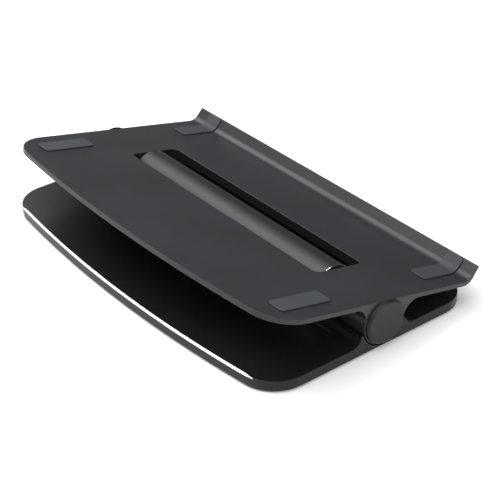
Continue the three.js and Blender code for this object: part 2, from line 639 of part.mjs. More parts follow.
// A disc that closes the knuckle's end, with a ring-shaped spigot inside the bore.
function endCap(side) {
  const inner = HALF_WIDTH + CAP_GAP;
  const outer = HALF_WIDTH + CAP_THICKNESS;
  const spigotR = KNUCKLE_BORE_R - CUP_GAP;
  const profile = [
    point(0, inner),
    point(spigotR - CAP_SPIGOT_WALL, inner),
    point(spigotR - CAP_SPIGOT_WALL, HALF_WIDTH - CAP_SPIGOT),
    point(spigotR, HALF_WIDTH - CAP_SPIGOT),
    point(spigotR, inner),
    point(CAP_R, inner),
    point(CAP_R, outer - CAP_BEVEL),
    point(CAP_R - CAP_BEVEL, outer),
    point(0, outer),
  ];
  return turnedAboutX(profile, side, 40);
}

// Assembly ---------------------------------------------------------------------------------------------------

const base = new THREE.Group();
const tray = new THREE.Group();
const sides = { left: -1, right: 1 };

addPiece(base, 'base_plate', 'base', basePlate());
addPiece(base, 'base_trim_strip', 'trim', trimStrip());
addPiece(base, 'hinge_barrel', 'barrel', hingeBarrel());
addPiece(tray, 'tray_plate', 'tray', trayPlate());

for (const [end, ySide] of Object.entries(coverSides)) {
  addPiece(base, `bottom_cover_${end}`, 'cover', bottomCover(ySide));
  coverScrewPlaces(ySide).forEach((place, i) => {
    addPiece(base, `${end}_cover_screw_${i + 1}`, 'steel', coverScrew(place));
  });
  for (const [hand, xSide] of Object.entries(sides)) {
    addPiece(base, `foot_${end}_${hand}`, 'foot', foot(xSide, ySide));
  }
}

barrelScrews.forEach((screw, i) => addPiece(base, `barrel_screw_${i + 1}`, 'steel', barrelScrew(screw)));

for (const [hand, side] of Object.entries(sides)) {
  addPiece(base, `barrel_plug_${hand}`, 'steel', barrelPlug(side));
  addPiece(base, `hinge_shaft_${hand}`, 'steel', hingeShaft(side));
  addPiece(tray, `friction_cup_${hand}`, 'bronze', frictionCup(side));
  addPiece(tray, `cup_grub_screw_${hand}`, 'steel', cupScrew(side));
  for (let n = 0; n < DISC_PAIRS; n += 1) {
    const shaftSide = shaftDisc(side, station.disc(2 * n), DISC_THICKNESS);
    addPiece(base, `shaft_disc_${hand}_${n + 1}`, 'steel', shaftSide);
    addPiece(tray, `cup_disc_${hand}_${n + 1}`, 'bronze', cupDisc(side, station.disc(2 * n + 1)));
  }
  const washer = shaftDisc(side, station.pressure, PRESSURE_WASHER_THICKNESS);
  addPiece(base, `pressure_washer_${hand}`, 'steel', washer);
  [1, -1].forEach((dish, n) => {
    const from = station.spring + n * (station.springLength + STACK_GAP);
    addPiece(base, `spring_washer_${hand}_${n + 1}`, 'steel', springWasher(side, from, dish));
  });
  addPiece(base, `lock_nut_${hand}`, 'steel', lockNut(side));
  addPiece(tray, `end_cap_${hand}`, 'cap', endCap(side));
  addPiece(tray, `rear_pad_${hand}`, 'rubber', rearPad(side));
  addPiece(tray, `lip_pad_${hand}`, 'rubber', lipPad(side));
}

tray.rotation.x = radians(REST_TILT_DEG);

const stand = new THREE.Group();
stand.add(base, tray);
const bounds = new THREE.Box3().setFromObject(stand, true);
stand.position.set(0, -(bounds.min.y + bounds.max.y) / 2, -bounds.min.z);

const laptopStand = new THREE.Group();
laptopStand.add(stand);

export default laptopStand;
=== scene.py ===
"""A tilting laptop stand: a base plate and a tray plate, joined by a round hinge as wide as the stand.

Each piece is drawn in millimetres around the hinge axis: x along the hinge, y towards the bowed rear edges,
z up. place() then turns the tray's pieces to the tilt of the frame and moves every piece to the hinge.
"""

import json
import math

import bmesh
import bpy
from mathutils import Matrix, Vector


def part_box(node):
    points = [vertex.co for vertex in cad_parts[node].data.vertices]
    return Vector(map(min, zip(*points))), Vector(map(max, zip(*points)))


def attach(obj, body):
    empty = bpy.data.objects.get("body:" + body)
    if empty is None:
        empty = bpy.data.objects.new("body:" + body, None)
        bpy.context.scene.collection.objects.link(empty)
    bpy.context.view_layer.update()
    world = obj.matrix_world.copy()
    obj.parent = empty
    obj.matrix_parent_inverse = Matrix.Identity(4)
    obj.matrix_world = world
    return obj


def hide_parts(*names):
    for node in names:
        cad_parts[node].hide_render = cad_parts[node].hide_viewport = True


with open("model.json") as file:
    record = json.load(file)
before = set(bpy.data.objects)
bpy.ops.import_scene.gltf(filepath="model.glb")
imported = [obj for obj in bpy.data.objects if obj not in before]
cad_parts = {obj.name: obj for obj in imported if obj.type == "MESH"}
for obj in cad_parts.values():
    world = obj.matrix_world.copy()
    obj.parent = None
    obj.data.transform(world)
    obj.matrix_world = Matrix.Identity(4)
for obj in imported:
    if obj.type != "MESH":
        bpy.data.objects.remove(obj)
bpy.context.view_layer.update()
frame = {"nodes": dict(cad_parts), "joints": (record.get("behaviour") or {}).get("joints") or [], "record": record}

# Sizes in millimetres -------------------------------------------------------------------------------------

MM = 0.001


def box_mm(node):
    """Lowest and highest corner of a frame node, in millimetres."""
    low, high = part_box(node)
    return low / MM, high / MM


hinge_joint = frame["joints"][0]
HINGE = Vector(hinge_joint["pos_m"])
TILT = -math.radians(hinge_joint["range_deg"][0])
AXIS_Y, AXIS_Z = HINGE.y / MM, HINGE.z / MM

plate_low, plate_high = box_mm("base_plate")
barrel_low, barrel_high = box_mm("hinge_barrel")
cap_low, cap_high = box_mm("end_cap_right")

HALF_WIDTH = plate_high.x
PLATE_REAR = plate_high.y - AXIS_Y
BASE_FRONT = AXIS_Y - plate_low.y
BASE_BOTTOM = plate_low.z - AXIS_Z
BASE_THICKNESS = 7.2
BASE_TOP = BASE_BOTTOM + BASE_THICKNESS
BARREL_R = (barrel_high.z - barrel_low.z) / 2
BARREL_HALF = barrel_high.x
BARREL_WALL = 3.0
BARREL_CHAMFER = 0.18
CAP_FACE = cap_high.x

REAR_BOW = 11.0
REAR_CORNER_R = 26.0
BASE_FRONT_CORNER_R = 24.5
TRAY_DROP = 1.5
TRAY_THICKNESS = 3.5
TRAY_TOP = BARREL_R - TRAY_DROP
TRAY_UNDER = TRAY_TOP - TRAY_THICKNESS
CRADLE_GAP = 0.7
CRADLE_R = BARREL_R + CRADLE_GAP
KNUCKLE_BORE_R = 12.5
KNUCKLE_LENGTH = 47.5
TRAY_REAR_FLARE_R = 9.5
TRAY_FRONT_FLARE_R = 11.5
TRAY_REAR_TIP_DEG = 13.5
TRAY_FRONT_TIP_DEG = 181.0
TRAY_TIP_WALL = 0.5
SLOT_FRONT_GAP = 4.9
SLOT_REAR_GAP = 2.8
SLOT_FRONT = BARREL_R + SLOT_FRONT_GAP
SLOT_REAR = BARREL_R + SLOT_REAR_GAP
SLOT_CORNER_R = 4.0
LIP_CREASE = 75.0
LIP_RISE = 10.0
LIP_INNER_DEG = 58.0
LIP_OUTER_DEG = 65.2
LIP_INNER_R = 8.0
LIP_OUTER_R = 9.0
LIP_EDGE = 1.2
EAR_WALL = 2.1
EAR_REAR_TIP_DEG = -14.5
EAR_REAR_FILLET_R = 6.5
EAR_FRONT_TIP_DEG = 195.5
EAR_FRONT_FILLET_R = 9.0
TRIM_HEIGHT = 0.9
TRIM_LEAN = 1.2
TRIM_SKIN = 0.25
TRIM_HALF = 134.0
TRIM_TAPER = 7.0
TRIM_THIN_END = 0.03
TRIM_STEP = 3.0
TRIM_CUT_OUTSIDE = 4.0
TRIM_CUT_ABOVE = 3.0
COVER_THICKNESS = 1.2
COVER_RIM = 7.0
COVER_GAP = 0.15
COVER_INNER = 24.0
COVER_SET_BACK = 0.05
COVER_EDGE = 0.2
PAD_WIDTH = 14.2
PAD_THICKNESS = 1.1
PAD_OUTER_X = 137.7
PAD_CORNER_R = 3.0
PAD_GAP = 0.02
PAD_EDGE = 0.45
PAD_BEND_SLICES = 14
REAR_PAD_LENGTH = 41.0
REAR_PAD_FROM_EDGE = 22.5
REAR_PAD_END = PLATE_REAR - REAR_PAD_FROM_EDGE
LIP_PAD_REACH = 30.0
LIP_PAD_DROP = 0.5
CAP_R = 15.7
CAP_BEVEL = 2.2
CAP_SEAT_GAP = 0.2
CAP_SPIGOT_GAP = 0.3
CAP_SPIGOT_WALL = 1.6
CAP_SPIGOT_DEPTH = 8.0
SCREW_HEAD_R = 2.6
SCREW_HEAD_DEPTH = 1.1
SCREW_SHANK_R = 1.5
SCREW_SOCKET_R = 1.1
SCREW_SOCKET_DEPTH = 0.8
SCREW_SEAT_GAP = 0.15
SCREW_HOLE_DEPTH = 1.3
SCREW_END_GAP = 0.05
SCREW_SIDES = 32
SCREW_SHANK_SHARE = 0.999
SCREW_LIFT = 0.02
FOOT_EDGE = 0.35
FOOT_CORNER_STEPS = 12
FOOT_CORNER_SHARE = 0.4999
FOOT_DRAW_IN = 1.6
EDGE = 0.4
SHARP_DEG = 40.0
WELD = 0.003
FOOT_WELD = 0.001
TURN_STEPS = 128

# Stock that each section has past the plan outline, and how far the cutters reach.
SPARE_X = 5.0
SPARE_Y = 8.0
CUTTER_LOW = -40.0
TRAY_CUTTER_HIGH = 60.0
BASE_CUTTER_HIGH = 20.0
SLOT_CUTTER_HALF = 30.0
CUTTER_BELOW_BASE = 2.0


# Outlines -------------------------------------------------------------------------------------------------


def arc(centre, radius, start, end, step=4.0):
    """Points of an arc from start to end degrees, both included."""
    count = max(1, math.ceil(abs(end - start) / step))
    angles = [math.radians(start + (end - start) * i / count) for i in range(count + 1)]
    return [(centre[0] + radius * math.cos(a), centre[1] + radius * math.sin(a)) for a in angles]


def bow_circle():
    """Radius and centre y of the arc that both plates' rear edges follow."""
    radius = (HALF_WIDTH**2 + REAR_BOW**2) / (2 * REAR_BOW)
    return radius, PLATE_REAR - radius


def plate_outline(inset, front, front_corner):
    """Plan outline of a plate, moved in by inset: straight sides, round corners, bowed rear edge."""
    bow_r, bow_y = bow_circle()
    corner_x = HALF_WIDTH - REAR_CORNER_R
    corner_y = bow_y + math.sqrt((bow_r - REAR_CORNER_R) ** 2 - corner_x**2)
    bow_deg = math.degrees(math.atan2(corner_y - bow_y, corner_x))
    side = HALF_WIDTH - inset
    edge = inset - front
    r = front_corner - inset
    if front_corner:
        points = arc((r - side, edge + r), r, 180, 270, 4) + arc((side - r, edge + r), r, 270, 360, 4)
    else:
        points = [(-side, edge), (side, edge)]
    points += arc((corner_x, corner_y), REAR_CORNER_R - inset, 0, bow_deg, 4)
    points += arc((0, bow_y), bow_r - inset, bow_deg, 180 - bow_deg, 0.2)[1:-1]
    points += arc((-corner_x, corner_y), REAR_CORNER_R - inset, 180 - bow_deg, 180, 4)
    return points


def rounded_rectangle(x0, y0, x1, y1, r, step=10.0):
    """A plan rectangle with round corners."""
    return (
        arc((x1 - r, y0 + r), r, -90, 0, step)
        + arc((x1 - r, y1 - r), r, 0, 90, step)
        + arc((x0 + r, y1 - r), r, 90, 180, step)
        + arc((x0 + r, y0 + r), r, 180, 270, step)
    )


def beyond(outline, y, side):
    """The part of a convex outline behind (side 1) or in front of (side -1) the line at y."""
    kept = []
    for a, b in zip(outline, outline[1:] + outline[:1]):
        a_in, b_in = side * (a[1] - y) > 0, side * (b[1] - y) > 0
        if a_in:
            kept.append(a)
        if a_in != b_in:
            share = (y - a[1]) / (b[1] - a[1])
            kept.append((a[0] + share * (b[0] - a[0]), y))
    return kept


def polar(radius, degrees):
    return radius * math.cos(math.radians(degrees)), radius * math.sin(math.radians(degrees))


# Mesh tools -----------------------------------------------------------------------------------------------


def object_from(mesh):
    made = bpy.data.objects.new(mesh.name, mesh)
    bpy.context.scene.collection.objects.link(made)
    return made


def object_of(name, vertices, faces):
    mesh = bpy.data.meshes.new(name)
    mesh.from_pydata(vertices, [], faces)
    mesh.update()
    return object_from(mesh)


def prism(name, outline, low, high, along="z"):
    """An outline drawn out along z, or a (y, z) outline drawn out along x."""
    if along == "z":
        ends = [[(a, b, level) for a, b in outline] for level in (low, high)]
    else:
        ends = [[(level, a, b) for a, b in outline] for level in (low, high)]
    n = len(outline)
    sides = [(i, (i + 1) % n, n + (i + 1) % n, n + i) for i in range(n)]
    caps = [tuple(reversed(range(n))), tuple(range(n, 2 * n))]
    return object_of(name, ends[0] + ends[1], sides + caps)


def turned(name, profile, segments, closed):
    """An (x, radius) profile turned about x. closed joins its last point to its first."""
    rings = []
    vertices = []
    for x, radius in profile:
        if radius == 0:
            rings.append([len(vertices)] * segments)
            vertices.append((x, 0, 0))
            continue
        rings.append(list(range(len(vertices), len(vertices) + segments)))
        for k in range(segments):
            angle = 2 * math.pi * k / segments
            vertices.append((x, radius * math.cos(angle), radius * math.sin(angle)))
    pairs = list(zip(rings, rings[1:]))
    if closed:
        pairs.append((rings[-1], rings[0]))
    faces = []
    for near, far in pairs:
        for k in range(segments):
            nxt = (k + 1) % segments
            corners = [near[k], near[nxt], far[nxt], far[k]]
            faces.append(tuple(dict.fromkeys(corners)))
    made = object_of(name, vertices, faces)
    face_outwards(made)
    return made


def face_outwards(made):
    work = bmesh.new()
    work.from_mesh(made.data)
    bmesh.ops.remove_doubles(work, verts=work.verts, dist=WELD)
    bmesh.ops.recalc_face_normals(work, faces=work.faces)
    if work.calc_volume(signed=True) < 0:
        bmesh.ops.reverse_faces(work, faces=work.faces)
    work.to_mesh(made.data)
    work.free()


def bake(made):
    """Turns an object with modifiers into a plain mesh."""
    bpy.context.view_layer.update()
    evaluated = made.evaluated_get(bpy.context.evaluated_depsgraph_get())
    mesh = bpy.data.meshes.new_from_object(evaluated)
    made.modifiers.clear()
    old = made.data
    made.data = mesh
    bpy.data.meshes.remove(old)
    mesh.name = made.name


def combine(made, other, operation):
    modifier = made.modifiers.new(operation, "BOOLEAN")
    modifier.operation = operation
    modifier.solver = "EXACT"
    modifier.object = other
    bake(made)
    old = other.data
    bpy.data.objects.remove(other)
    bpy.data.meshes.remove(old)


def soften(made, width=EDGE, segments=3, angle=32.0):
    """Rounds the sharp edges and keeps the flats flat."""
    bevel = made.modifiers.new("edges", "BEVEL")
    bevel.width = width
    bevel.segments = segments
    bevel.limit_method = "ANGLE"
    bevel.angle_limit = math.radians(angle)
    bevel.use_clamp_overlap = False
    bevel.miter_outer = "MITER_ARC"
    made.data.shade_smooth()
    bake(made)


def level_normals(made):
    """Lets the large flat faces set the normals where they meet a curve, and keeps sharp corners sharp."""
    face_outwards(made)
    made.data.shade_smooth()
    made.data.set_sharp_from_angle(angle=math.radians(SHARP_DEG))
    weigh = made.modifiers.new("normals", "WEIGHTED_NORMAL")
    weigh.mode = "FACE_AREA"
    weigh.weight = 100
    weigh.keep_sharp = True
    bake(made)


def place(made, tilted):
    """Moves a piece from its drawing around the hinge axis to its place in the stand."""
    turn = Matrix.Rotation(TILT, 4, "X") if tilted else Matrix.Identity(4)
    made.data.transform(Matrix.Translation(HINGE) @ turn @ Matrix.Scale(MM, 4))
    made.data.update()


def finish_piece(made, name, materials, stands_for, tilted):
    """Names a piece, gives it its place, body, slot and materials, and hides the nodes it stands for."""
    made.name = name
    made.data.name = name
    place(made, tilted)
    made.data.materials.clear()
    for material in materials:
        made.data.materials.append(material)
    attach(made, "tray" if tilted else "base")
    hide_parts(*stands_for)


# Node trees -----------------------------------------------------------------------------------------------


class Wire:
    """A node's output. Arithmetic on it adds Math nodes to its tree."""

    def __init__(self, tree, socket):
        self.tree = tree
        self.socket = socket

    def math(self, operation, a, b=0.0):
        return self.tree.node("ShaderNodeMath", {"operation": operation}, {0: a, 1: b})

    def __add__(self, other):
        return self.math("ADD", self, other)

    __radd__ = __add__

    def __sub__(self, other):
        return self.math("SUBTRACT", self, other)

    def __rsub__(self, other):
        return self.math("SUBTRACT", other, self)

    def __mul__(self, other):
        return self.math("MULTIPLY", self, other)

    __rmul__ = __mul__


class Tree:
    """A node tree, with one method that makes every node but the Math nodes of an expression."""

    def __init__(self, tree):
        self.tree = tree

    def node(self, kind, settings=None, sockets=None, output=0):
        made = self.tree.nodes.new(kind)
        for name, value in (settings or {}).items():
            setattr(made, name, value)
        for name, value in (sockets or {}).items():
            self.feed(made.inputs[name], value)
        return Wire(self, made.outputs[output]) if made.outputs else made

    def feed(self, socket, value):
        if isinstance(value, Wire):
            self.tree.links.new(value.socket, socket)
        else:
            socket.default_value = value


class Finish(Tree):
    """A material with one Principled shader, whose constant values are set on its own sockets."""

    def __init__(self, name, **constants):
        self.material = bpy.data.materials.new(name)
        self.material.use_nodes = True
        super().__init__(self.material.node_tree)
        self.tree.nodes.clear()
        self.shader = self.tree.nodes.new("ShaderNodeBsdfPrincipled")
        output = self.tree.nodes.new("ShaderNodeOutputMaterial")
        self.tree.links.new(self.shader.outputs[0], output.inputs[0])
        for key, value in constants.items():
            self.shader.inputs[key.replace("_", " ").title().replace("Ior", "IOR")].default_value = value
        self.place = self.node("ShaderNodeTexCoord", output="Object")

    def noise(self, scale, detail=2.0, stretch=(1, 1, 1)):
        """Smooth noise, about 0.5, with scale lumps to the metre."""
        where = self.node("ShaderNodeMapping", {}, {"Vector": self.place, "Scale": stretch})
        return self.node("ShaderNodeTexNoise", {}, {"Vector": where, "Scale": scale, "Detail": detail})

    def blend(self, share, dark, light):
        """A colour between two, by a share from 0 to 1."""
        settings = {"data_type": "RGBA", "clamp_factor": True}
        return self.node("ShaderNodeMix", settings, {0: share, 6: (*dark, 1), 7: (*light, 1)}, output=2)

    def surface(self, colour=None, roughness=None, height=None, depth=0.00001, strength=0.5):
        """Joins what changes over the surface to the shader."""
        if colour is not None:
            self.feed(self.shader.inputs["Base Color"], colour)
        if roughness is not None:
            self.feed(self.shader.inputs["Roughness"], roughness)
        if height is not None:
            sockets = {"Height": height, "Distance": depth, "Strength": strength}
            self.feed(self.shader.inputs["Normal"], self.node("ShaderNodeBump", {}, sockets))
        return self.material


def tint(colour, share):
    return tuple(channel * share for channel in colour)


def blasted_anodised(name, colour, roughness, ior, grain_depth):
    """Bead-blasted, anodised aluminium: a fine pitted grain and a faint cloudiness in colour and gloss."""
    finish = Finish(name, metallic=0.0, ior=ior)
    grain = finish.noise(5200, 2)
    mottle = finish.noise(850, 3)
    cloud = finish.noise(22, 3)
    share = (grain * 0.3 + mottle * 0.45 + cloud * 0.25 - 0.5) * 2.2 + 0.5
    shade = finish.blend(share, tint(colour, 0.6), tint(colour, 1.4))
    gloss = (cloud - 0.5) * 0.08 + (mottle - 0.5) * 0.14 + roughness
    return finish.surface(shade, gloss, grain * 0.5 + mottle * 0.5, depth=grain_depth, strength=0.6)


def turned_anodised():
    """Lathe-turned, anodised aluminium: faint rings around the barrel."""
    colour = (0.06, 0.0602, 0.0613)
    finish = Finish("turned_anodised", metallic=1.0)
    rings = finish.noise(40, 4, stretch=(160, 0.5, 0.5))
    grain = finish.noise(4200, 2)
    shade = finish.blend(rings * 0.7 + grain * 0.3, tint(colour, 0.85), tint(colour, 1.15))
    gloss = (rings - 0.5) * 0.1 + 0.55
    return finish.surface(shade, gloss, rings * 0.6 + grain * 0.4, depth=0.000004, strength=0.4)


def cut_edge():
    """Bare aluminium where an edge was cut bright after anodising."""
    colour = (0.8, 0.8, 0.82)
    finish = Finish("cut_edge", metallic=1.0)
    lines = finish.noise(300, 3, stretch=(12, 1, 1))
    return finish.surface(finish.blend(lines, tint(colour, 0.9), colour), (lines - 0.5) * 0.06 + 0.2)


def polished_trim():
    """Polished metal with hair-fine drawn lines along the strip."""
    colour = (0.95, 0.95, 0.95)
    finish = Finish("polished_trim", metallic=1.0)
    lines = finish.noise(900, 3, stretch=(0.02, 1, 1))
    shade = finish.blend(lines, tint(colour, 0.96), colour)
    return finish.surface(shade, (lines - 0.5) * 0.05 + 0.45, lines, depth=0.000001, strength=0.2)


def soft_rubber(name, colour, roughness, grain_depth):
    """Moulded rubber with a fine pebbled skin."""
    finish = Finish(name, metallic=0.0, ior=1.45)
    pebbles = finish.node(
        "ShaderNodeTexVoronoi",
        {"feature": "SMOOTH_F1"},
        {"Vector": finish.place, "Scale": 2600, "Smoothness": 0.6},
    )
    dust = finish.noise(60, 4)
    shade = finish.blend(dust * 0.7 + pebbles * 0.3, tint(colour, 0.88), tint(colour, 1.12))
    return finish.surface(shade, (dust - 0.5) * 0.12 + roughness, pebbles, depth=grain_depth)


def moulded_plastic():
    """Dark moulded plastic with a fine spark texture."""
    colour = (0.011, 0.011, 0.0113)
    finish = Finish("moulded_plastic", metallic=0.0, ior=1.36)
    spark = finish.noise(3400, 3)
    cloud = finish.noise(40, 2)
    shade = finish.blend(spark * 0.5 + cloud * 0.5, tint(colour, 0.88), tint(colour, 1.12))
    return finish.surface(shade, (spark - 0.5) * 0.1 + 0.42, spark, depth=0.000012)


def powder_coat():
    """Matte black paint with a fine orange-peel skin."""
    colour = (0.012, 0.012, 0.0125)
    finish = Finish("powder_coat", metallic=0.0, ior=1.5)
    peel = finish.noise(900, 2)
    cloud = finish.noise(30, 2)
    shade = finish.blend(cloud, tint(colour, 0.9), tint(colour, 1.1))
    return finish.surface(shade, (peel - 0.5) * 0.12 + 0.5, peel, depth=0.00003)


def machined_metal(name, colour, roughness):
    """Machined metal: faint tool rings around the hinge axis and a little tarnish."""
    finish = Finish(name, metallic=1.0)
    rings = finish.noise(60, 3, stretch=(60, 1, 1))
    tarnish = finish.noise(180, 4)
    shade = finish.blend(rings * 0.4 + tarnish * 0.6, tint(colour, 0.75), tint(colour, 1.1))
    return finish.surface(shade, (tarnish - 0.5) * 0.2 + roughness, rings, depth=0.000006, strength=0.4)


finishes = {
    "tray": blasted_anodised(
        "tray_anodised", (0.023, 0.0247, 0.0272), roughness=0.34, ior=1.38, grain_depth=0.00001
    ),
    "base": blasted_anodised(
        "base_anodised", (0.0085, 0.0085, 0.009), roughness=0.31, ior=1.33, grain_depth=0.000004
    ),
    "barrel": turned_anodised(),
    "cut_edge": cut_edge(),
    "trim": polished_trim(),
    "cap": moulded_plastic(),
    "pad": soft_rubber("pad_rubber", (0.034, 0.0385, 0.044), roughness=0.62, grain_depth=0.00002),
    "foot": soft_rubber("foot_rubber", (0.012, 0.012, 0.012), roughness=0.75, grain_depth=0.00004),
    "cover": powder_coat(),
    "screw": machined_metal("black_oxide_steel", (0.06, 0.06, 0.062), roughness=0.38),
    "steel": machined_metal("machined_steel", (0.5, 0.5, 0.5), roughness=0.3),
    "bronze": machined_metal("machined_bronze", (0.5, 0.34, 0.14), roughness=0.32),
}


# Tray -----------------------------------------------------------------------------------------------------


def lip_shape():
    """Centres of the lip's two bends and the two corners of its free edge."""
    inner, outer = math.radians(LIP_INNER_DEG), math.radians(LIP_OUTER_DEG)
    inner_top = (-LIP_CREASE - LIP_RISE / math.tan(inner), TRAY_TOP + LIP_RISE)
    outer_top = (inner_top[0] - LIP_EDGE * math.sin(inner), inner_top[1] - LIP_EDGE * math.cos(inner))
    outer_crease = outer_top[0] + (outer_top[1] - TRAY_UNDER) / math.tan(outer)
    return {
        "inner_centre": (-LIP_CREASE + LIP_INNER_R * math.tan(inner / 2), TRAY_TOP + LIP_INNER_R),
        "inner_top": inner_top,
        "outer_top": outer_top,
        "outer_centre": (outer_crease + LIP_OUTER_R * math.tan(outer / 2), TRAY_UNDER + LIP_OUTER_R),
    }


def flare(tip_deg, radius):
    """Centre of the concave flare that runs from the plate to its tip, and the tip's angle on it."""
    tip = polar(CRADLE_R + TRAY_TIP_WALL, tip_deg)
    z = TRAY_UNDER - radius
    deg = math.degrees(math.asin((tip[1] - z) / radius))
    return tip[0] + math.copysign(radius * math.cos(math.radians(deg)), tip[0]), z, deg


def tray_section():
    """The tray from rear to lip, with the hinge knuckle and its flares under it, as one (y, z) outline."""
    lip = lip_shape()
    rear = PLATE_REAR + SPARE_Y
    rear_y, rear_z, rear_deg = flare(TRAY_REAR_TIP_DEG, TRAY_REAR_FLARE_R)
    front_y, front_z, front_deg = flare(TRAY_FRONT_TIP_DEG, TRAY_FRONT_FLARE_R)
    return (
        [(rear, TRAY_UNDER), (rear, TRAY_TOP)]
        + arc(lip["inner_centre"], LIP_INNER_R, -90, -90 - LIP_INNER_DEG, 4)
        + [lip["inner_top"], lip["outer_top"]]
        + arc(lip["outer_centre"], LIP_OUTER_R, -90 - LIP_OUTER_DEG, -90, 4)
        + arc((front_y, front_z), TRAY_FRONT_FLARE_R, 90, front_deg, 4)
        + arc((0, 0), BARREL_R, TRAY_FRONT_TIP_DEG, 360 + TRAY_REAR_TIP_DEG, 3)
        + arc((rear_y, rear_z), TRAY_REAR_FLARE_R, 180 - rear_deg, 90, 4)
    )


def make_tray():
    past = HALF_WIDTH + SPARE_X
    tray = prism("tray", tray_section(), -past, past, "x")
    outline = plate_outline(0, 2 * LIP_CREASE, 0)
    combine(tray, prism("outline", outline, CUTTER_LOW, TRAY_CUTTER_HIGH), "INTERSECT")
    slot_half = HALF_WIDTH - KNUCKLE_LENGTH
    slot = rounded_rectangle(-slot_half, -SLOT_FRONT, slot_half, SLOT_REAR, SLOT_CORNER_R)
    combine(tray, prism("slot", slot, -SLOT_CUTTER_HALF, SLOT_CUTTER_HALF), "DIFFERENCE")
    bore = arc((0, 0), KNUCKLE_BORE_R, 0, 354, 6)
    combine(tray, prism("bore", bore, -past, past, "x"), "DIFFERENCE")
    soften(tray)
    level_normals(tray)
    # Painted shade: the slot's side walls get the darker base finish so they read as dark as the shadow inside the
    # slot, not because they have a finish of their own.
    slot_wall_painted_shade = [
        abs(face.normal.z) < 0.5
        and abs(face.center.x) < slot_half + EDGE
        and -SLOT_FRONT - EDGE < face.center.y < SLOT_REAR + EDGE
        for face in tray.data.polygons
    ]
    # The second finish is the painted shade on the slot walls.
    metals = [finishes["tray"], finishes["base"]]
    finish_piece(tray, "tray_plate_shell", metals, ["tray_plate"], True)
    tray.data.polygons.foreach_set("material_index", [int(inside) for inside in slot_wall_painted_shade])


def pad_blank(length):
    """A flat pad lying along u from 0 to length, with round corners and rounded edges."""
    outline = rounded_rectangle(0, -PAD_WIDTH / 2, length, PAD_WIDTH / 2, PAD_CORNER_R)
    blank = prism("pad", outline, PAD_GAP, PAD_THICKNESS)
    soften(blank, PAD_EDGE)
    return blank


def bend(made, path, slices):
    """Moves each point from (u, v, w) to the place that path(u, w) gives in (y, z), with v along x."""
    work = bmesh.new()
    work.from_mesh(made.data)
    for u in slices:
        everything = list(work.verts) + list(work.edges) + list(work.faces)
        bmesh.ops.bisect_plane(work, geom=everything, plane_co=(u, 0, 0), plane_no=(1, 0, 0))
    for vertex in work.verts:
        u, v, w = vertex.co
        y, z = path(u, w)
        vertex.co = (v, y, z)
    work.to_mesh(made.data)
    work.free()


def make_pads():
    for hand, side in (("left", -1), ("right", 1)):
        middle = side * (PAD_OUTER_X - PAD_WIDTH / 2)
        rear = pad_blank(REAR_PAD_LENGTH)
        bend(rear, lambda u, w: (REAR_PAD_END - u, TRAY_TOP + w), [])
        rear.data.transform(Matrix.Translation((middle, 0, 0)))
        level_normals(rear)
        name = f"rear_pad_{hand}"
        finish_piece(rear, f"{name}_rubber", [finishes["pad"]], [name], True)
        lip_pad = make_lip_pad()
        lip_pad.data.transform(Matrix.Translation((middle, 0, 0)))
        level_normals(lip_pad)
        name = f"lip_pad_{hand}"
        finish_piece(lip_pad, f"{name}_rubber", [finishes["pad"]], [name], True)


def make_lip_pad():
    """A pad that lies on the tray, follows the bend and runs up the lip."""
    angle = math.radians(LIP_INNER_DEG)
    centre_y, centre_z = lip_shape()["inner_centre"]
    flat_end = -LIP_CREASE + LIP_PAD_REACH
    flat = flat_end - centre_y
    around = LIP_INNER_R * angle
    up = LIP_RISE / math.sin(angle) - LIP_INNER_R * math.tan(angle / 2) - LIP_PAD_DROP

    def path(u, w):
        turn = min(max((u - flat) / LIP_INNER_R, 0), angle)
        along = max(u - flat - around, 0)
        radius = LIP_INNER_R - w
        y = centre_y - radius * math.sin(turn) - along * math.cos(angle)
        z = centre_z - radius * math.cos(turn) + along * math.sin(angle)
        return (flat_end - u if u < flat else y), z

    blank = pad_blank(flat + around + up)
    bend(blank, path, [flat + around * i / PAD_BEND_SLICES for i in range(PAD_BEND_SLICES + 1)])
    return blank


def make_caps():
    """The round caps that close the hinge's ends, each with a ring-shaped spigot inside the knuckle."""
    spigot = KNUCKLE_BORE_R - CAP_SPIGOT_GAP
    inner = spigot - CAP_SPIGOT_WALL
    seat = HALF_WIDTH + CAP_SEAT_GAP
    end = HALF_WIDTH - CAP_SPIGOT_DEPTH
    rim = arc((CAP_FACE - CAP_BEVEL, CAP_R - CAP_BEVEL), CAP_BEVEL, 0, 90, 15)
    profile = (
        [(seat, 0), (seat, inner), (end, inner), (end, spigot), (seat, spigot), (seat, CAP_R)]
        + rim[::-1]
        + [(CAP_FACE, 0)]
    )
    for hand, side in (("left", -1), ("right", 1)):
        cap = turned("cap", [(side * x, r) for x, r in profile], TURN_STEPS, False)
        level_normals(cap)
        name = f"end_cap_{hand}"
        finish_piece(cap, f"{name}_disc", [finishes["cap"]], [name], True)


# Base -----------------------------------------------------------------------------------------------------


